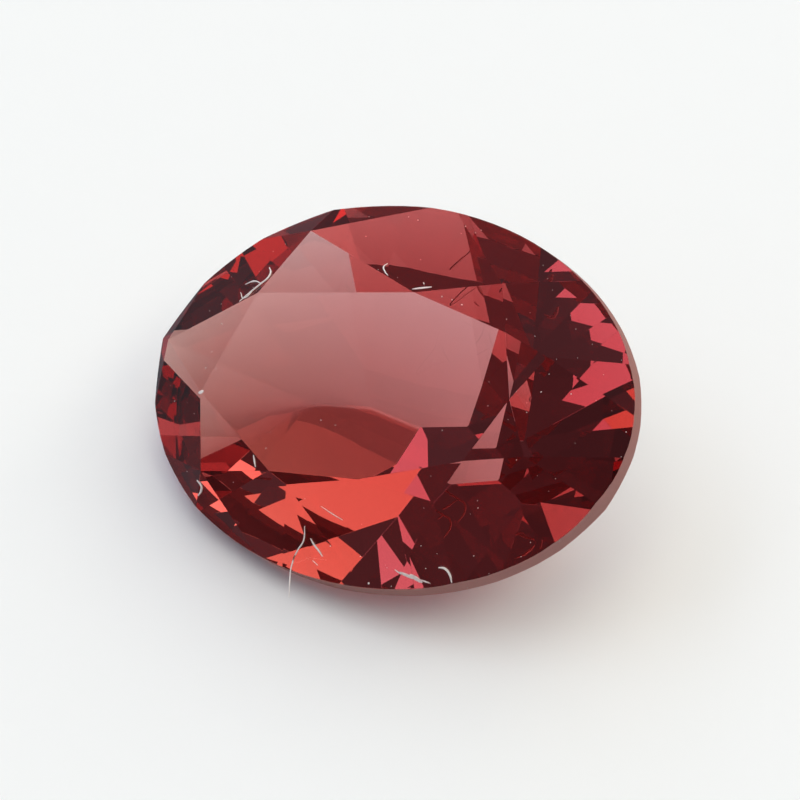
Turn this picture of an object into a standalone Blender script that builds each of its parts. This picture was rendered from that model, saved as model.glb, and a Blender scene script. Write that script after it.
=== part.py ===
"""A cut and faceted oval tourmaline, resting on one of its lower facets.

The stone is cut as a lapidary cuts it. An oval blank is cut back, one flat facet at a time,
in the stone's own frame: the X axis runs along the length, the Z axis points out of the table,
and the upper edge of the girdle lies at height 0. The finished stone is then laid down on the
lower main facet that it rests on, and turned to its heading, with its underside at height 0.
"""

import math
from typing import NamedTuple

import bmesh
import bpy
import numpy as np
from mathutils import Matrix, Vector

MM = 0.001

# Driving dimensions of the stone
HALF_LENGTH = 5.0 * MM
HALF_WIDTH = 3.7 * MM
CROWN_HEIGHT = 1.4 * MM
STAR_SLOPE = math.radians(22.5)
END_PAVILION_SLOPE = math.radians(31.5)
SIDE_PAVILION_SLOPE = math.radians(36.0)
LOWER_REACH = 0.75

# The girdle is thickest on the side that it faces here, and thins evenly to the other side
GIRDLE_THICKNESS = 0.33 * MM
GIRDLE_SWING = 0.15 * MM
THICK_SIDE = math.radians(-70.0)

# Where each of the two halves between neighbouring mains touches the outline, as a share of the way
HALF_TOUCHES = (0.25, 0.75)

# The blank that the facets are cut from
BLANK_SIDES = 96
BLANK_HALF_HEIGHT = 5.0 * MM

# The lower main that the stone rests on, and the heading that it is turned to
REST_MAIN = 5
HEADING = math.radians(-24.5)

# Corners closer together than this are one, and turns flatter than this are no facet edge
CUT_TOLERANCE = 0.002 * MM
FACET_EDGE_ANGLE = math.radians(4.5)

STONE_COLOUR = (0.42, 0.03, 0.04, 1.0)
STONE_ROUGHNESS = 0.02
STONE_IOR = 1.63


class Sector(NamedTuple):
    """One of the eight sectors round the stone, as its cutter left it.

    table_x and table_y place the corner of the table, in millimetres. upper_turn is how far the
    crown's main faces to one side of the straight way out, in degrees, and upper_edge is how high
    it meets the girdle, in millimetres. lower_turn is how far round the outline the pavilion's main
    lies from the crown's, and lower_rise how much steeper it is than the rule, both in degrees.
    """

    table_x: float
    table_y: float
    upper_turn: float
    upper_edge: float
    lower_turn: float
    lower_rise: float


# Counted from the +X end towards +Y
SECTORS = (
    Sector(3.05, 0.05, -4.0, -0.05, 4.0, 0.0),
    Sector(2.65, 1.30, 6.0, 0.05, 2.0, 0.0),
    Sector(0.60, 1.80, 8.0, 0.20, 5.0, -3.0),
    Sector(-2.60, 1.35, 0.0, -0.05, -10.0, -1.5),
    Sector(-3.30, -0.70, 5.0, 0.0, 7.0, 0.5),
    Sector(-1.50, -2.00, 9.0, 0.10, -16.0, -3.5),
    Sector(0.35, -1.90, 1.0, 0.05, 11.0, -2.0),
    Sector(2.40, -1.25, -8.0, -0.05, 1.0, 2.0),
)


class Facet(NamedTuple):
    """A flat cut that keeps every point whose product with the normal is below the reach."""

    normal: Vector
    reach: float


def elliptic_angle(point: Vector) -> float:
    """Return the elliptic angle at which a point lies."""
    return math.atan2(point.y / HALF_WIDTH, point.x / HALF_LENGTH)


def outline_direction(turn: float) -> Vector:
    """Return the level direction that the outline faces at an elliptic angle."""
    return Vector((math.cos(turn) / HALF_LENGTH, math.sin(turn) / HALF_WIDTH, 0.0)).normalized()


def turned(direction: Vector, angle: float) -> Vector:
    """Return a level direction turned about the stone's axis."""
    return Matrix.Rotation(angle, 3, "Z") @ direction


def outline_foot(direction: Vector, height: float) -> Vector:
    """Return the outline's furthest point along a level direction."""
    reach = math.hypot(HALF_LENGTH * direction.x, HALF_WIDTH * direction.y)
    return Vector((HALF_LENGTH**2 * direction.x / reach, HALF_WIDTH**2 * direction.y / reach, height))


def sloped_facet(direction: Vector, slope: float, point: Vector, side: int) -> Facet:
    """Return the facet through a point that falls away in a level direction at a slope.

    side is 1 for the crown, whose facets face up, and -1 for the pavilion.
    """
    normal = direction * math.sin(slope) + Vector((0.0, 0.0, side * math.cos(slope)))
    return Facet(normal, normal.dot(point))


def touching_facet(direction: Vector, point: Vector, height: float, side: int) -> Facet:
    """Return the facet through a point that just touches the outline at a height."""
    foot = outline_foot(direction, height)
    slope = math.atan2(side * (point.z - height), (foot - point).dot(direction))
    return sloped_facet(direction, slope, foot, side)


def meeting_point(one: Facet, two: Facet, three: Facet) -> Vector:
    """Return the point where three facets meet."""
    normals = np.array([one.normal[:], two.normal[:], three.normal[:]])
    reaches = np.array([one.reach, two.reach, three.reach])
    return Vector(np.linalg.solve(normals, reaches))


def halves(tip: Vector, near: Vector, far: Vector, side: int) -> list[Facet]:
    """Return the two half facets that share a tip between the feet of neighbouring mains."""
    start = elliptic_angle(near)
    sweep = (elliptic_angle(far) - start) % math.tau
    facets = []
    for share in HALF_TOUCHES:
        direction = outline_direction(start + sweep * share)
        height = near.z + (far.z - near.z) * share
        facets.append(touching_facet(direction, tip, height, side))
    return facets


def crown_facets() -> tuple[list[Facet], list[Vector]]:
    """Return the crown's facets and the feet of its mains on the girdle.

    Each main runs from its corner of the table down to the outline. A star lies between
    neighbouring corners, and its tip is where it meets the two mains beside it.
    """
    corners = []
    mains = []
    feet = []
    for sector in SECTORS:
        corner = Vector((sector.table_x * MM, sector.table_y * MM, CROWN_HEIGHT))
        straight = outline_direction(elliptic_angle(corner))
        direction = turned(straight, math.radians(sector.upper_turn))
        height = sector.upper_edge * MM
        corners.append(corner)
        mains.append(touching_facet(direction, corner, height, 1))
        feet.append(outline_foot(direction, height))
    facets = list(mains)
    for index, corner in enumerate(corners):
        following = (index + 1) % len(corners)
        edge = corners[following] - corner
        outward = Vector((edge.y, -edge.x, 0.0)).normalized()
        star = sloped_facet(outward, STAR_SLOPE, corner, 1)
        tip = meeting_point(star, mains[index], mains[following])
        facets.append(star)
        facets += halves(tip, feet[index], feet[following], 1)
    return facets, feet


def girdle_floor(direction: Vector) -> float:
    """Return the height of the girdle's lower edge where the outline faces a direction."""
    swing = GIRDLE_SWING * math.cos(math.atan2(direction.y, direction.x) - THICK_SIDE)
    return -(GIRDLE_THICKNESS + swing)


def pavilion_facets(crown_feet: list[Vector]) -> tuple[list[Facet], list[Facet]]:
    """Return the pavilion's mains and its halves.

    Each main lies under a main of the crown. The lower halves between two mains meet on the edge
    that the mains share, part of the way from the girdle to where that edge comes nearest to the
    stone's axis.
    """
    mains = []
    feet = []
    for crown_foot, sector in zip(crown_feet, SECTORS):
        direction = outline_direction(elliptic_angle(crown_foot) + math.radians(sector.lower_turn))
        slope = END_PAVILION_SLOPE * direction.x**2 + SIDE_PAVILION_SLOPE * direction.y**2
        slope += math.radians(sector.lower_rise)
        foot = outline_foot(direction, girdle_floor(direction))
        mains.append(sloped_facet(direction, slope, foot, -1))
        feet.append(foot)
    lower_halves = []
    for index, foot in enumerate(feet):
        following = (index + 1) % len(feet)
        level = Facet(Vector((0.0, 0.0, -1.0)), GIRDLE_THICKNESS)
        top = meeting_point(mains[index], mains[following], level)
        edge = mains[index].normal.cross(mains[following].normal)
        run = -(top.x * edge.x + top.y * edge.y) / (edge.x**2 + edge.y**2)
        tip = top + edge * (run * LOWER_REACH)
        lower_halves += halves(tip, foot, feet[following], -1)
    return mains, lower_halves


def oval_blank() -> bmesh.types.BMesh:
    """Return the uncut blank: an upright oval prism."""
    blank = bmesh.new()
    height = 2.0 * BLANK_HALF_HEIGHT
    bmesh.ops.create_cone(blank, cap_ends=True, segments=BLANK_SIDES, radius1=1.0, radius2=1.0, depth=height)
    bmesh.ops.scale(blank, vec=(HALF_LENGTH, HALF_WIDTH, 1.0), verts=blank.verts)
    return blank


def cut(stone: bmesh.types.BMesh, facet: Facet) -> None:
    """Cut one flat facet and close the stone again."""
    everything = stone.verts[:] + stone.edges[:] + stone.faces[:]
    result = bmesh.ops.bisect_plane(
        stone,
        geom=everything,
        dist=CUT_TOLERANCE,
        plane_co=facet.normal * facet.reach,
        plane_no=facet.normal,
        clear_outer=True,
    )
    rim = [item for item in result["geom_cut"] if isinstance(item, bmesh.types.BMEdge)]
    if len(rim) > 2:
        bmesh.ops.edgeloop_fill(stone, edges=rim)


def stone_material() -> bpy.types.Material:
    """Return the pinkish red of the crystal."""
    material = bpy.data.materials.new("tourmaline")
    material.use_nodes = True
    shader = material.node_tree.nodes["Principled BSDF"]
    shader.inputs["Base Color"].default_value = STONE_COLOUR
    shader.inputs["Roughness"].default_value = STONE_ROUGHNESS
    shader.inputs["Metallic"].default_value = 0.0
    shader.inputs["IOR"].default_value = STONE_IOR
    shader.inputs["Transmission Weight"].default_value = 1.0
    return material


def laid_down(resting: Facet) -> Matrix:
    """Return the turn that lays the stone on a facet and brings it to its heading."""
    up = -resting.normal
    length = Vector((1.0, 0.0, 0.0))
    along = (length - up * length.dot(up)).normalized()
    level = Matrix((along, up.cross(along), up))
    return Matrix.Rotation(HEADING, 3, "Z") @ level


def set_down(stone: bmesh.types.BMesh) -> None:
    """Move the stone so that the middle of its underside's box is the origin."""
    corners = np.array([vertex.co[:] for vertex in stone.verts])
    lowest = corners.min(axis=0)
    highest = corners.max(axis=0)
    middle = (lowest + highest) / 2.0
    bmesh.ops.translate(stone, vec=(-middle[0], -middle[1], -lowest[2]), verts=stone.verts)


def cut_stone() -> bmesh.types.BMesh:
    """Return the cut stone, laid down on its resting facet."""
    table = Facet(Vector((0.0, 0.0, 1.0)), CROWN_HEIGHT)
    upper_facets, feet = crown_facets()
    lower_mains, lower_halves = pavilion_facets(feet)
    stone = oval_blank()
    for facet in [table, *upper_facets, *lower_mains, *lower_halves]:
        cut(stone, facet)
    bmesh.ops.remove_doubles(stone, verts=stone.verts, dist=CUT_TOLERANCE)
    bmesh.ops.recalc_face_normals(stone, faces=stone.faces)
    turn = laid_down(lower_mains[REST_MAIN])
    bmesh.ops.rotate(stone, cent=(0.0, 0.0, 0.0), matrix=turn, verts=stone.verts)
    set_down(stone)
    return stone


def clear_scene() -> None:
    """Remove every object of the scene that the script starts in."""
    for thing in list(bpy.data.objects):
        bpy.data.objects.remove(thing, do_unlink=True)


def main() -> None:
    """Model the stone as one object."""
    clear_scene()
    stone = cut_stone()
    mesh = bpy.data.meshes.new("gemstone")
    stone.to_mesh(mesh)
    stone.free()
    mesh.materials.append(stone_material())
    mesh.shade_smooth()
    mesh.set_sharp_from_angle(angle=FACET_EDGE_ANGLE)
    gemstone = bpy.data.objects.new("gemstone", mesh)
    bpy.context.scene.collection.objects.link(gemstone)


if __name__ == "__main__":
    main()
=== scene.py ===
"""The looks of a loose, cut tourmaline that lies on a white sheet under soft studio light.

The stone is dressed on a copy of its CAD solid: the corners are joined, the facet edges are worn
a little, the polished facets are see-through and tinted by plain absorption, and the girdle keeps
the frosted skin of the grinding. Lint, a hair and dust lie on the facets where the photograph
shows them. Every place that is given in pixels is in the photograph's 800 by 800 frame and is
carried onto the stone by a ray from the camera.
"""

import logging
import math
import random
from dataclasses import dataclass, field
from enum import Enum

import bpy
from mathutils import Matrix, Vector
from mathutils.bvhtree import BVHTree


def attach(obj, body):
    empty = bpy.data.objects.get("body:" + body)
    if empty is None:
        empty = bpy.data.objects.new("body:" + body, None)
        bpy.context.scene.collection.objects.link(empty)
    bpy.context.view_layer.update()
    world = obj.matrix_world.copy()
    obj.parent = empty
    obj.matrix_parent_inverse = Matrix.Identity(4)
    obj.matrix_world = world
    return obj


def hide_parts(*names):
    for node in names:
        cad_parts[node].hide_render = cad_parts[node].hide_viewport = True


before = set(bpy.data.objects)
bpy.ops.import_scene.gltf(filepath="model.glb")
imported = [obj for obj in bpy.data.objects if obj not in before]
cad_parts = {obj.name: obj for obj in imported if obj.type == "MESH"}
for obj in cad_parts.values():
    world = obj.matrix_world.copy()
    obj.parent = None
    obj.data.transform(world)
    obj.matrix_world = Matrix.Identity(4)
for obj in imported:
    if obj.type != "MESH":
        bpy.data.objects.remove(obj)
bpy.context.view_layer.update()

MM = 0.001
PHOTO_PIXELS = 800
TOURMALINE_IOR = 1.63
LOG = logging.getLogger("gemstone")


class Body(Enum):
    """The bodies that a piece can ride on."""

    STONE = "root"


class Slot(Enum):
    """The material slots of the record."""

    TOURMALINE = "tourmaline"
    LINT = "lint"


def linear(code: str) -> tuple[float, float, float, float]:
    """Turn an sRGB hex value into a linear colour.

    Args:
        code: the colour as six hex digits after a hash sign.

    Returns:
        The linear red, green, blue and an alpha of one.
    """
    parts = [int(code[start:start + 2], 16) / 255.0 for start in (1, 3, 5)]
    red, green, blue = (p / 12.92 if p <= 0.04045 else ((p + 0.055) / 1.055) ** 2.4 for p in parts)
    return (red, green, blue, 1.0)


def add_node(tree: bpy.types.NodeTree, kind: str, settings: dict, links: dict) -> bpy.types.Node:
    """Add a node with its settings and its links.

    Args:
        tree: the node tree that gets the node.
        kind: the node's type name.
        settings: values by property name, or by input name or number.
        links: output sockets by the name or number of the input that each feeds.

    Returns:
        The new node.
    """
    node = tree.nodes.new(kind)
    for name, value in settings.items():
        if isinstance(name, int) or name in node.inputs:
            node.inputs[name].default_value = value
        else:
            setattr(node, name, value)
    for name, source in links.items():
        tree.links.new(source, node.inputs[name])
    return node


def new_material(name: str) -> tuple[bpy.types.Material, bpy.types.NodeTree]:
    """Make a material with an empty node tree.

    Args:
        name: the common name of the real material and how it was made.

    Returns:
        The material and its node tree.
    """
    material = bpy.data.materials.new(name)
    material.use_nodes = True
    material.node_tree.nodes.clear()
    return material, material.node_tree


def select_only(piece: bpy.types.Object) -> None:
    """Make one piece the only selected and the active object."""
    bpy.ops.object.select_all(action="DESELECT")
    piece.select_set(True)
    bpy.context.view_layer.objects.active = piece


@dataclass(frozen=True)
class PolishedTourmaline:
    """Pinkish red tourmaline, cut and polished: mirror-smooth facets on a clear, deep crystal.

    The colour comes from absorption along the light's way, so thin places are pink and long ways
    through the stone are deep red. The crystal is warmer at one end and more purple at the other,
    as tourmaline grows in zones.
    """

    ior: float = TOURMALINE_IOR
    roughness: float = 0.0
    density_per_m: float = 285.0
    passes: tuple[float, float, float, float] = (0.79, 0.05, 0.06, 1.0)
    warm_end: str = "#ffe9dc"
    cool_end: str = "#ffeef4"
    zone_mm: float = 3.0
    zone_turn_deg: float = -30.0

    def build(self) -> bpy.types.Material:
        """Return the material."""
        material, tree = new_material("tourmaline polished")
        place = add_node(tree, "ShaderNodeTexCoord", {}, {})
        across = 1.0 / (self.zone_mm * MM)
        turn = add_node(
            tree,
            "ShaderNodeMapping",
            {"Rotation": (0.0, 0.0, math.radians(self.zone_turn_deg)), "Scale": (across, across, across)},
            {"Vector": place.outputs["Object"]},
        )
        split = add_node(tree, "ShaderNodeSeparateXYZ", {}, {"Vector": turn.outputs[0]})
        zone = add_node(
            tree,
            "ShaderNodeMapRange",
            {"interpolation_type": "SMOOTHSTEP", "From Min": -1.0, "From Max": 1.0},
            {"Value": split.outputs["X"]},
        )
        tint = add_node(
            tree,
            "ShaderNodeMix",
            {"data_type": "RGBA", 6: linear(self.warm_end), 7: linear(self.cool_end)},
            {"Factor": zone.outputs[0]},
        )
        surface = add_node(
            tree,
            "ShaderNodeBsdfPrincipled",
            {"Roughness": self.roughness, "IOR": self.ior, "Transmission Weight": 1.0},
            {"Base Color": tint.outputs[2]},
        )
        depth = add_node(
            tree,
            "ShaderNodeVolumeAbsorption",
            {"Color": self.passes, "Density": self.density_per_m},
            {},
        )
        output = add_node(tree, "ShaderNodeOutputMaterial", {}, {})
        tree.links.new(surface.outputs[0], output.inputs["Surface"])
        tree.links.new(depth.outputs[0], output.inputs["Volume"])
        return material


@dataclass(frozen=True)
class FrostedGirdle:
    """Tourmaline left as the grinding wheel leaves it: a frosted, greyish pink skin."""

    colour: str = "#e6a096"
    see_through: float = 0.5
    roughness: tuple[float, float] = (0.45, 0.7)
    ior: float = TOURMALINE_IOR
    grain_mm: float = 0.06
    grain_depth_mm: float = 0.01
    grain_strength: float = 0.6

    def build(self, depth: PolishedTourmaline) -> bpy.types.Material:
        """Return the material, which shares the crystal's absorption.

        Args:
            depth: the crystal under the skin.

        Returns:
            The frosted material.
        """
        material, tree = new_material("tourmaline ground girdle")
        place = add_node(tree, "ShaderNodeTexCoord", {}, {})
        grain = add_node(
            tree,
            "ShaderNodeTexNoise",
            {"Scale": 1.0 / (self.grain_mm * MM), "Detail": 3.0, "Roughness": 0.6},
            {"Vector": place.outputs["Object"]},
        )
        rough = add_node(
            tree,
            "ShaderNodeMapRange",
            {"To Min": self.roughness[0], "To Max": self.roughness[1]},
            {"Value": grain.outputs["Fac"]},
        )
        bump = add_node(
            tree,
            "ShaderNodeBump",
            {"Strength": self.grain_strength, "Distance": self.grain_depth_mm * MM},
            {"Height": grain.outputs["Fac"]},
        )
        surface = add_node(
            tree,
            "ShaderNodeBsdfPrincipled",
            {"Base Color": linear(self.colour), "IOR": self.ior, "Transmission Weight": self.see_through},
            {"Roughness": rough.outputs[0], "Normal": bump.outputs[0]},
        )
        volume = add_node(
            tree,
            "ShaderNodeVolumeAbsorption",
            {"Color": depth.passes, "Density": depth.density_per_m},
            {},
        )
        output = add_node(tree, "ShaderNodeOutputMaterial", {}, {})
        tree.links.new(surface.outputs[0], output.inputs["Surface"])
        tree.links.new(volume.outputs[0], output.inputs["Volume"])
        return material


@dataclass(frozen=True)
class CottonLint:
    """Cotton fibre and dust: matt, nearly white, a little see-through where it is thin."""

    colour: str = "#f6f2ee"
    shade: str = "#ddd2cc"
    roughness: float = 0.85
    fuzz: float = 0.3
    mottle_mm: float = 0.12

    def build(self) -> bpy.types.Material:
        """Return the material."""
        material, tree = new_material("cotton lint")
        place = add_node(tree, "ShaderNodeTexCoord", {}, {})
        mottle = add_node(
            tree,
            "ShaderNodeTexNoise",
            {"Scale": 1.0 / (self.mottle_mm * MM), "Detail": 2.0},
            {"Vector": place.outputs["Object"]},
        )
        colour = add_node(
            tree,
            "ShaderNodeMix",
            {"data_type": "RGBA", 6: linear(self.shade), 7: linear(self.colour)},
            {"Factor": mottle.outputs["Fac"]},
        )
        surface = add_node(
            tree,
            "ShaderNodeBsdfPrincipled",
            {"Roughness": self.roughness, "Sheen Weight": self.fuzz},
            {"Base Color": colour.outputs[2]},
        )
        output = add_node(tree, "ShaderNodeOutputMaterial", {}, {})
        tree.links.new(surface.outputs[0], output.inputs["Surface"])
        return material


@dataclass(frozen=True)
class ChipWithPaintedGlint:
    """The face of a chip, painted bright and pearly: its near-white colour is a painted highlight for the
    glints at the chips, and its small steps are a bump.
    """

    # Near-white colour: a painted highlight where the chips glint
    colour: str = "#f7efec"
    shade: str = "#d9b9b4"
    roughness: float = 0.3
    ior: float = TOURMALINE_IOR
    step_mm: float = 0.05
    step_depth_mm: float = 0.01
    step_strength: float = 0.5

    def build(self) -> bpy.types.Material:
        """Return the material."""
        material, tree = new_material("tourmaline chip painted glint")
        place = add_node(tree, "ShaderNodeTexCoord", {}, {})
        steps = add_node(
            tree,
            "ShaderNodeTexNoise",
            {"Scale": 1.0 / (self.step_mm * MM), "Detail": 2.0},
            {"Vector": place.outputs["Object"]},
        )
        colour = add_node(
            tree,
            "ShaderNodeMix",
            {"data_type": "RGBA", 6: linear(self.shade), 7: linear(self.colour)},
            {"Factor": steps.outputs["Fac"]},
        )
        bump = add_node(
            tree,
            "ShaderNodeBump",
            {"Strength": self.step_strength, "Distance": self.step_depth_mm * MM},
            {"Height": steps.outputs["Fac"]},
        )
        surface = add_node(
            tree,
            "ShaderNodeBsdfPrincipled",
            {"Roughness": self.roughness, "IOR": self.ior},
            {"Base Color": colour.outputs[2], "Normal": bump.outputs[0]},
        )
        output = add_node(tree, "ShaderNodeOutputMaterial", {}, {})
        tree.links.new(surface.outputs[0], output.inputs["Surface"])
        return material


@dataclass(frozen=True)
class WhiteSheet:
    """A plain white sheet: matt, with a faint grain and very shallow ridges."""

    colour: str = "#f6f6f5"
    roughness: float = 0.95
    shine: float = 0.1
    grain_mm: float = 0.25
    grain_depth_mm: float = 0.02
    grain_strength: float = 0.12
    ridge_mm: float = 1.2
    ridge_depth_mm: float = 0.05
    ridge_strength: float = 0.25

    def build(self) -> bpy.types.Material:
        """Return the material."""
        material, tree = new_material("white sheet")
        place = add_node(tree, "ShaderNodeTexCoord", {}, {})
        grain = add_node(
            tree,
            "ShaderNodeTexNoise",
            {"Scale": 1.0 / (self.grain_mm * MM), "Detail": 4.0},
            {"Vector": place.outputs["Object"]},
        )
        ridges = add_node(
            tree,
            "ShaderNodeTexNoise",
            {"Scale": 1.0 / (self.ridge_mm * MM), "Detail": 2.0},
            {"Vector": place.outputs["Object"]},
        )
        fine = add_node(
            tree,
            "ShaderNodeBump",
            {"Strength": self.grain_strength, "Distance": self.grain_depth_mm * MM},
            {"Height": grain.outputs["Fac"]},
        )
        broad = add_node(
            tree,
            "ShaderNodeBump",
            {"Strength": self.ridge_strength, "Distance": self.ridge_depth_mm * MM},
            {"Height": ridges.outputs["Fac"], "Normal": fine.outputs[0]},
        )
        surface = add_node(
            tree,
            "ShaderNodeBsdfPrincipled",
            {
                "Base Color": linear(self.colour),
                "Roughness": self.roughness,
                "Specular IOR Level": self.shine,
            },
            {"Normal": broad.outputs[0]},
        )
        output = add_node(tree, "ShaderNodeOutputMaterial", {}, {})
        tree.links.new(surface.outputs[0], output.inputs["Surface"])
        return material


@dataclass
class Camera:
    """The camera, set so that the stone fills the same part of the frame as in the photograph.

    Lengths are in metres, and the four sides of the outline are pixels of the photograph.
    """

    elevation_deg: float = 51.0
    roll_deg: float = -2.0
    distance: float = 0.25
    sensor_mm: float = 36.0
    nearest: float = 0.005
    farthest: float = 10.0
    outline_left: float = 155.0
    outline_right: float = 638.0
    outline_top: float = 206.5
    outline_bottom: float = 594.0
    place: Vector = field(default_factory=Vector)
    right: Vector = field(default_factory=Vector)
    up: Vector = field(default_factory=Vector)
    forward: Vector = field(default_factory=Vector)
    metres_per_pixel: float = 0.0

    def build(self, stone: bpy.types.Object) -> bpy.types.Object:
        """Aim the camera at the stone.

        Args:
            stone: the CAD node whose outline is matched to the photograph's.

        Returns:
            The camera object.
        """
        elevation = math.radians(self.elevation_deg)
        roll = math.radians(self.roll_deg)
        self.forward = Vector((0.0, math.cos(elevation), -math.sin(elevation)))
        level = Vector((1.0, 0.0, 0.0))
        upright = level.cross(self.forward)
        self.right = level * math.cos(roll) + upright * math.sin(roll)
        self.up = upright * math.cos(roll) - level * math.sin(roll)
        corners = [stone.matrix_world @ vertex.co for vertex in stone.data.vertices]
        across = [corner.dot(self.right) for corner in corners]
        upward = [corner.dot(self.up) for corner in corners]
        self.metres_per_pixel = (max(across) - min(across)) / (self.outline_right - self.outline_left)
        middle_x = (self.outline_left + self.outline_right) / 2.0 - PHOTO_PIXELS / 2.0
        middle_y = PHOTO_PIXELS / 2.0 - (self.outline_top + self.outline_bottom) / 2.0
        aim = self.right * ((max(across) + min(across)) / 2.0 - middle_x * self.metres_per_pixel)
        aim += self.up * ((max(upward) + min(upward)) / 2.0 - middle_y * self.metres_per_pixel)
        self.place = aim - self.forward * self.distance
        lens = bpy.data.cameras.new("camera")
        lens.sensor_width = self.sensor_mm
        lens.lens = self.sensor_mm * self.distance / (PHOTO_PIXELS * self.metres_per_pixel)
        lens.clip_start = self.nearest
        lens.clip_end = self.farthest
        camera = bpy.data.objects.new("camera", lens)
        bpy.context.scene.collection.objects.link(camera)
        turn = Matrix((self.right, self.up, -self.forward)).transposed()
        camera.matrix_world = Matrix.Translation(self.place) @ turn.to_4x4()
        bpy.context.scene.camera = camera
        tall = (max(upward) - min(upward)) / self.metres_per_pixel
        LOG.info("camera: %.4f mm per pixel, outline %.0f pixels tall", self.metres_per_pixel / MM, tall)
        return camera

    def ray(self, pixel: tuple[float, float]) -> Vector:
        """Find the direction from the camera through a pixel of the photograph.

        Args:
            pixel: the place in the photograph.

        Returns:
            The direction, of length one.
        """
        right = (pixel[0] - PHOTO_PIXELS / 2.0) * self.metres_per_pixel
        up = (PHOTO_PIXELS / 2.0 - pixel[1]) * self.metres_per_pixel
        return (self.forward * self.distance + self.right * right + self.up * up).normalized()


@dataclass
class Stone:
    """The cut stone: the CAD solid with joined corners, worn facet edges and a frosted girdle."""

    node: str = "gemstone"
    joined_mm: float = 0.001
    edge_wear_mm: float = 0.012
    sharp_deg: float = 4.0
    flat_deg: float = 0.05
    upright_cosine: float = 0.05
    piece: bpy.types.Object | None = None
    tree: BVHTree | None = None

    def build(self) -> None:
        """Copy the CAD solid, join its corners and wear its facet edges."""
        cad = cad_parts[self.node]
        select_only(cad)
        bpy.ops.object.duplicate()
        self.piece = bpy.context.view_layer.objects.active
        self.piece.name = "cut_stone"
        self.piece.data.name = "cut_stone"
        self.piece.data.materials.clear()
        bpy.ops.object.mode_set(mode="EDIT")
        bpy.ops.mesh.select_all(action="SELECT")
        bpy.ops.mesh.remove_doubles(threshold=self.joined_mm * MM)
        bpy.ops.mesh.normals_make_consistent(inside=False)
        bpy.ops.mesh.dissolve_limited(angle_limit=math.radians(self.flat_deg))
        bpy.ops.object.mode_set(mode="OBJECT")
        bpy.ops.object.shade_flat()
        self.tree = BVHTree.FromPolygons(
            [vertex.co.copy() for vertex in self.piece.data.vertices],
            [tuple(face.vertices) for face in self.piece.data.polygons],
        )

    def girdle_faces(self) -> list[int]:
        """Find the narrow strips that ring the stone, at right angles to its table.

        Returns:
            The numbers of the strips' faces.
        """
        faces = self.piece.data.polygons
        axis = max(faces, key=lambda face: face.area).normal.copy()
        return [face.index for face in faces if abs(face.normal.dot(axis)) < self.upright_cosine]

    def dress(self, crystal: PolishedTourmaline, skin: FrostedGirdle) -> None:
        """Give the facets and the girdle their finishes.

        Args:
            crystal: the polished finish of the facets.
            skin: the frosted finish of the girdle.
        """
        strips = self.girdle_faces()
        self.piece.data.materials.append(crystal.build())
        self.piece.data.materials.append(skin.build(crystal))
        for number in strips:
            self.piece.data.polygons[number].material_index = 1
        wear = self.piece.modifiers.new("edge wear", "BEVEL")
        wear.width = self.edge_wear_mm * MM
        wear.segments = 1
        wear.limit_method = "ANGLE"
        wear.angle_limit = math.radians(self.sharp_deg)
        wear.use_clamp_overlap = True
        select_only(self.piece)
        bpy.ops.object.modifier_apply(modifier=wear.name)
        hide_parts(self.node)
        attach(self.piece, Body.STONE.value)
        LOG.info("cut stone: %d faces, %d girdle strips", len(self.piece.data.polygons), len(strips))


@dataclass(frozen=True)
class Fibre:
    """One fibre of lint or hair, as a run of places in the photograph.

    hang_mm is the height at which its free part hangs, where it reaches past the stone, and
    end_share is the width of its two ends as a share of its width.
    """

    path: tuple[tuple[float, float], ...]
    width_mm: float = 0.035
    hang_mm: float = 0.9
    end_share: float = 0.5


# The hair is the long one, and its lower end hangs past the girdle
FIBRES = (
    Fibre(((240.0, 302.0), (252.0, 292.0), (262.0, 284.0), (268.0, 279.0), (271.0, 274.0), (270.0, 268.0))),
    Fibre(((246.0, 285.0), (254.0, 282.0), (262.0, 284.0))),
    Fibre(((241.0, 293.0), (246.0, 298.0), (255.0, 289.0)), 0.025),
    Fibre(((388.0, 264.0), (384.0, 267.0), (385.0, 272.0), (388.0, 276.0)), 0.03),
    Fibre(((198.0, 480.0), (202.0, 485.0), (202.0, 490.0), (199.0, 495.0)), 0.045),
    Fibre(((254.0, 455.0), (255.0, 461.0), (256.0, 467.0)), 0.035),
    Fibre(
        ((305.0, 526.0), (304.0, 540.0), (298.0, 550.0), (293.0, 562.0), (290.0, 578.0), (289.0, 598.0)),
        0.028,
    ),
    Fibre(((311.0, 538.0), (315.0, 545.0), (319.0, 550.0), (323.0, 556.0)), 0.04),
    Fibre(((313.0, 560.0), (318.0, 565.0)), 0.03),
    Fibre(((439.0, 567.0), (445.0, 568.0), (450.0, 574.0), (452.0, 582.0)), 0.045),
    Fibre(((321.0, 506.0), (333.0, 514.0), (343.0, 520.0)), 0.018),
)

# Larger specks: their places in the photograph and their radii in millimetres
SPECKS = (
    (424.0, 284.0, 0.03),
    (442.0, 297.0, 0.022),
    (452.0, 300.0, 0.018),
    (462.0, 305.0, 0.02),
    (541.0, 392.0, 0.022),
    (571.0, 394.0, 0.018),
    (626.0, 432.0, 0.018),
    (369.0, 583.0, 0.03),
    (212.0, 352.0, 0.016),
    (206.0, 368.0, 0.016),
    (222.0, 324.0, 0.018),
    (175.0, 401.0, 0.016),
)


@dataclass(frozen=True)
class ChipGlint:
    """A small chip with a painted highlight on its face, given by its middle in the photograph, its size in
    millimetres and its turn.
    """

    place: tuple[float, float]
    length_mm: float
    width_mm: float
    turn_deg: float


# The first four make the chip by the lower edge, whose brightness is a painted highlight
CHIP_GLINTS = (
    ChipGlint((407.0, 575.5), 0.34, 0.07, -18.0),
    ChipGlint((416.0, 578.5), 0.3, 0.09, -28.0),
    ChipGlint((425.0, 581.5), 0.22, 0.035, -12.0),
    ChipGlint((398.0, 572.0), 0.16, 0.03, -30.0),
    ChipGlint((422.0, 288.0), 0.4, 0.05, -3.0),
    ChipGlint((201.0, 392.0), 0.12, 0.07, 20.0),
)


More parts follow.
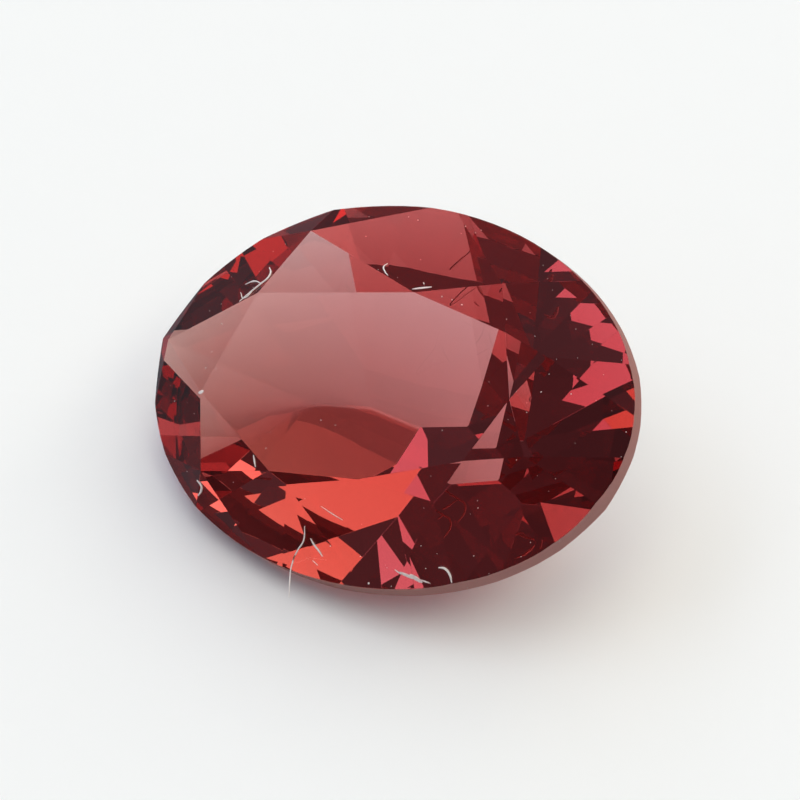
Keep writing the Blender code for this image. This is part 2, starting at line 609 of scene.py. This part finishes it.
@dataclass
class Dirt:
    """What lies on the stone: lint and a hair, specks of dust, and chip faces with painted highlights."""

    camera: Camera
    stone: Stone
    dust_count: int = 150
    dust_mm: tuple[float, float] = (0.006, 0.014)
    dust_across: tuple[float, float] = (160.0, 635.0)
    dust_down: tuple[float, float] = (210.0, 590.0)
    dust_seed: int = 7
    speck_shape: tuple[float, float, float] = (1.0, 0.7, 0.5)
    speck_lift: float = 0.5
    chip_glint_depth_mm: float = 0.02
    pieces: list[bpy.types.Object] = field(default_factory=list)

    def touch(self, pixel: tuple[float, float], hang_mm: float = 0.0) -> tuple[Vector, Vector]:
        """Find the place on the stone that a pixel of the photograph shows.

        Args:
            pixel: the place in the photograph.
            hang_mm: the height to use where the pixel shows no part of the stone.

        Returns:
            The place and the direction that its facet faces.
        """
        way = self.camera.ray(pixel)
        place, facing, _, _ = self.stone.tree.ray_cast(self.camera.place, way)
        if place is None:
            run = (hang_mm * MM - self.camera.place.z) / way.z
            return self.camera.place + way * run, Vector((0.0, 0.0, 1.0))
        return place, facing

    def thread(self, fibre: Fibre, name: str) -> bpy.types.Object:
        """Lay one fibre on the stone.

        Args:
            fibre: the fibre's run and its width.
            name: the name of the new tube.

        Returns:
            The fibre as a closed tube.
        """
        bpy.ops.object.select_all(action="DESELECT")
        bpy.ops.curve.primitive_bezier_curve_add(location=(0.0, 0.0, 0.0))
        tube = bpy.context.view_layer.objects.active
        tube.name = name
        run = tube.data.splines[0]
        run.bezier_points.add(len(fibre.path) - len(run.bezier_points))
        ends = (0, len(fibre.path) - 1)
        for number, (point, pixel) in enumerate(zip(run.bezier_points, fibre.path)):
            place, facing = self.touch(pixel, fibre.hang_mm)
            point.co = place + facing * (fibre.width_mm * MM / 2.0)
            point.handle_left_type = "AUTO"
            point.handle_right_type = "AUTO"
            point.radius = fibre.end_share if number in ends else 1.0
        tube.data.resolution_u = 6
        tube.data.bevel_depth = fibre.width_mm * MM / 2.0
        tube.data.bevel_resolution = 2
        tube.data.use_fill_caps = True
        bpy.ops.object.convert(target="MESH")
        bpy.ops.object.shade_smooth()
        return tube

    def grain(self, pixel: tuple[float, float], radius: float) -> bpy.types.Object | None:
        """Lay one speck on the stone.

        Args:
            pixel: the place in the photograph.
            radius: the speck's radius in metres.

        Returns:
            The speck, or None where the pixel shows no part of the stone.
        """
        way = self.camera.ray(pixel)
        place, facing, _, _ = self.stone.tree.ray_cast(self.camera.place, way)
        if place is None:
            return None
        middle = place + facing * radius * self.speck_lift
        bpy.ops.mesh.primitive_ico_sphere_add(subdivisions=1, radius=radius, location=middle)
        speck = bpy.context.view_layer.objects.active
        speck.rotation_euler = (pixel[0], pixel[1], 0.0)
        speck.scale = self.speck_shape
        return speck

    def chip_glint(self, chip_glint: ChipGlint) -> bpy.types.Object:
        """Set the face of one chip in the stone's skin, painted bright as a highlight.

        Args:
            chip_glint: the chip's place, size and turn.

        Returns:
            The face as a thin, closed flake.
        """
        place, facing = self.touch(chip_glint.place)
        bpy.ops.mesh.primitive_ico_sphere_add(subdivisions=2, radius=0.5, location=place)
        flake = bpy.context.view_layer.objects.active
        along = (self.camera.right - facing * self.camera.right.dot(facing)).normalized()
        turn = Matrix((along, facing.cross(along), facing)).transposed()
        spin = Matrix.Rotation(math.radians(chip_glint.turn_deg), 3, "Z")
        flake.rotation_mode = "QUATERNION"
        flake.rotation_quaternion = (turn @ spin).to_quaternion()
        flake.scale = (chip_glint.length_mm * MM, chip_glint.width_mm * MM, self.chip_glint_depth_mm * MM)
        return flake

    def joined(self, parts: list[bpy.types.Object], name: str) -> bpy.types.Object:
        """Join parts into one piece whose object lies unturned and unscaled at the origin.

        Args:
            parts: the parts, of which the first keeps its object.
            name: the name of the piece.

        Returns:
            The joined piece.
        """
        bpy.ops.object.select_all(action="DESELECT")
        for part in parts:
            part.select_set(True)
        bpy.context.view_layer.objects.active = parts[0]
        bpy.ops.object.transform_apply(location=True, rotation=True, scale=True)
        if len(parts) > 1:
            bpy.ops.object.join()
        piece = bpy.context.view_layer.objects.active
        piece.name = name
        piece.data.name = name
        self.pieces.append(piece)
        return piece

    def build(self) -> None:
        """Lay the fibres, the specks, the dust and the chips with their painted highlights."""
        threads = [self.thread(fibre, f"fibre{number}") for number, fibre in enumerate(FIBRES)]
        self.joined(threads, "lint_fibres")
        rng = random.Random(self.dust_seed)
        specks = [self.grain((x, y), radius * MM) for x, y, radius in SPECKS]
        for _ in range(self.dust_count):
            pixel = (rng.uniform(*self.dust_across), rng.uniform(*self.dust_down))
            specks.append(self.grain(pixel, rng.uniform(*self.dust_mm) * MM))
        self.joined([speck for speck in specks if speck], "dust_specks")
        # The chip faces carry painted highlights
        self.joined([self.chip_glint(chip_glint) for chip_glint in CHIP_GLINTS], "chip_glint_faces")

    def dress(self, lint: bpy.types.Material, chip_glint_finish: bpy.types.Material) -> None:
        """Give the pieces their materials and let them ride on the stone.

        Args:
            lint: the finish of the fibres and the dust.
            chip_glint_finish: the finish of the chips, whose near-white colour is a painted highlight.
        """
        for piece in self.pieces:
            chip = piece.name == "chip_glint_faces"
            piece.data.materials.clear()
            piece.data.materials.append(chip_glint_finish if chip else lint)
            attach(piece, Body.STONE.value)
            LOG.info("%s: %d faces", piece.name, len(piece.data.polygons))


@dataclass(frozen=True)
class Softbox:
    """One box of the overhead bank: its power in watts and the tint of its cloth."""

    watts: float
    colour: str


@dataclass
class Studio:
    """A pale floor, a bank of overhead softboxes and a plain surround that is dim by the camera.

    The photograph shows almost no glare on the facets, as through a polarising filter. So the
    floor and the softboxes aren't mirrored in them, and the surround is mirrored only in part.
    The boxes are a little warm and a little cool, and the sheet is neutral where they add up.
    Lengths are in metres.
    """

    floor_half: float = 1.0
    air_gap_mm: float = 0.02
    bank: tuple[Softbox, ...] = (Softbox(1.95, "#fff4da"), Softbox(1.2, "#ffefcc"), Softbox(1.45, "#dbe6ff"))
    bank_gap: float = 0.12
    bank_height: float = 0.5
    bank_aim: tuple[float, float, float] = (0.19, 0.4, 1.0)
    box_width: float = 0.28
    box_length: float = 1.05
    surround_low: float = 0.66
    surround_high: float = 0.83
    camera_side_dim: float = 0.7
    dim_from: float = -0.9
    dim_to: float = 0.3
    mirrored_share: float = 0.22
    through_share: float = 0.23
    backdrop: float = 0.85
    surround_colour: str = "#deebfb"
    bounces: int = 24

    def build(self, sheet: WhiteSheet) -> None:
        """Build the floor, the softboxes and the surround.

        Args:
            sheet: the finish of the floor.
        """
        bpy.ops.object.select_all(action="DESELECT")
        level = (0.0, 0.0, -self.air_gap_mm * MM)
        bpy.ops.mesh.primitive_plane_add(size=2.0 * self.floor_half, location=level)
        floor = bpy.context.view_layer.objects.active
        floor.name = "white_sheet"
        floor.data.materials.append(sheet.build())
        floor.visible_glossy = False
        for number in range(len(self.bank)):
            self.hang_softbox(number)
        self.surround()

    def hang_softbox(self, number: int) -> None:
        """Hang one softbox in its place in the bank.

        Args:
            number: the softbox's place, counted from zero.
        """
        lamp = bpy.data.lights.new(f"softbox {number}", "AREA")
        lamp.energy = self.bank[number].watts
        lamp.color = linear(self.bank[number].colour)[:3]
        lamp.shape = "RECTANGLE"
        lamp.size = self.box_width
        lamp.size_y = self.box_length
        box = bpy.data.objects.new(f"softbox_{number}", lamp)
        bpy.context.scene.collection.objects.link(box)
        aim = Vector(self.bank_aim).normalized()
        turn = aim.to_track_quat("Z", "Y")
        across = (number - (len(self.bank) - 1) / 2.0) * (self.box_width + self.bank_gap)
        box.location = aim * self.bank_height + turn @ Vector((across, 0.0, 0.0))
        box.rotation_mode = "QUATERNION"
        box.rotation_quaternion = turn
        box.visible_glossy = False

    def surround(self) -> None:
        """Build the surround: brighter overhead, dim on the side that the camera stands on.

        It lights the sheet in full. The stone's facets mirror only a share of it, and another
        share is seen through them, which keeps the long ways through the stone dark.
        """
        world = bpy.data.worlds.new("studio surround")
        bpy.context.scene.world = world
        world.use_nodes = True
        tree = world.node_tree
        tree.nodes.clear()
        place = add_node(tree, "ShaderNodeTexCoord", {}, {})
        way = add_node(
            tree,
            "ShaderNodeVectorMath",
            {"operation": "NORMALIZE"},
            {0: place.outputs["Generated"]},
        )
        split = add_node(tree, "ShaderNodeSeparateXYZ", {}, {"Vector": way.outputs[0]})
        height = add_node(
            tree,
            "ShaderNodeMapRange",
            {"From Min": 0.0, "From Max": 1.0, "To Min": self.surround_low, "To Max": self.surround_high},
            {"Value": split.outputs["Z"]},
        )
        side = add_node(
            tree,
            "ShaderNodeMapRange",
            {
                "interpolation_type": "SMOOTHSTEP",
                "From Min": self.dim_from,
                "From Max": self.dim_to,
                "To Min": 1.0 - self.camera_side_dim,
                "To Max": 1.0,
            },
            {"Value": split.outputs["Y"]},
        )
        dimmed = add_node(
            tree,
            "ShaderNodeMath",
            {"operation": "MULTIPLY"},
            {0: height.outputs[0], 1: side.outputs[0]},
        )
        path = add_node(tree, "ShaderNodeLightPath", {}, {})
        mirrored = add_node(
            tree,
            "ShaderNodeMath",
            {"operation": "SUBTRACT", "use_clamp": True},
            {0: path.outputs["Is Glossy Ray"], 1: path.outputs["Is Transmission Ray"]},
        )
        share = add_node(
            tree,
            "ShaderNodeMapRange",
            {"To Min": 1.0, "To Max": self.mirrored_share},
            {"Value": mirrored.outputs[0]},
        )
        through = add_node(
            tree,
            "ShaderNodeMapRange",
            {"To Min": 1.0, "To Max": self.through_share},
            {"Value": path.outputs["Is Transmission Ray"]},
        )
        shares = add_node(
            tree,
            "ShaderNodeMath",
            {"operation": "MULTIPLY"},
            {0: share.outputs[0], 1: through.outputs[0]},
        )
        seen = add_node(
            tree,
            "ShaderNodeMath",
            {"operation": "MULTIPLY"},
            {0: dimmed.outputs[0], 1: shares.outputs[0]},
        )
        shown = add_node(
            tree,
            "ShaderNodeMix",
            {"data_type": "FLOAT", 3: self.backdrop},
            {"Factor": path.outputs["Is Camera Ray"], 2: seen.outputs[0]},
        )
        back = add_node(
            tree,
            "ShaderNodeBackground",
            {"Color": linear(self.surround_colour)},
            {"Strength": shown.outputs[0]},
        )
        output = add_node(tree, "ShaderNodeOutputWorld", {}, {})
        tree.links.new(back.outputs[0], output.inputs["Surface"])

    def light_paths(self) -> None:
        """Let light bounce often enough to leave the stone again, and keep the colours plain."""
        scene = bpy.context.scene
        scene.cycles.max_bounces = self.bounces
        scene.cycles.glossy_bounces = self.bounces
        scene.cycles.transmission_bounces = self.bounces
        scene.view_settings.view_transform = "Standard"


def main() -> None:
    """Build the camera, the stone, what lies on it and the studio."""
    logging.basicConfig(level=logging.INFO)
    camera = Camera()
    camera.build(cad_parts["gemstone"])
    stone = Stone()
    stone.build()
    stone.dress(PolishedTourmaline(), FrostedGirdle())
    dirt = Dirt(camera, stone)
    dirt.build()
    dirt.dress(CottonLint().build(), ChipWithPaintedGlint().build())
    studio = Studio()
    studio.build(WhiteSheet())
    studio.light_paths()


if __name__ == "__main__":
    main()
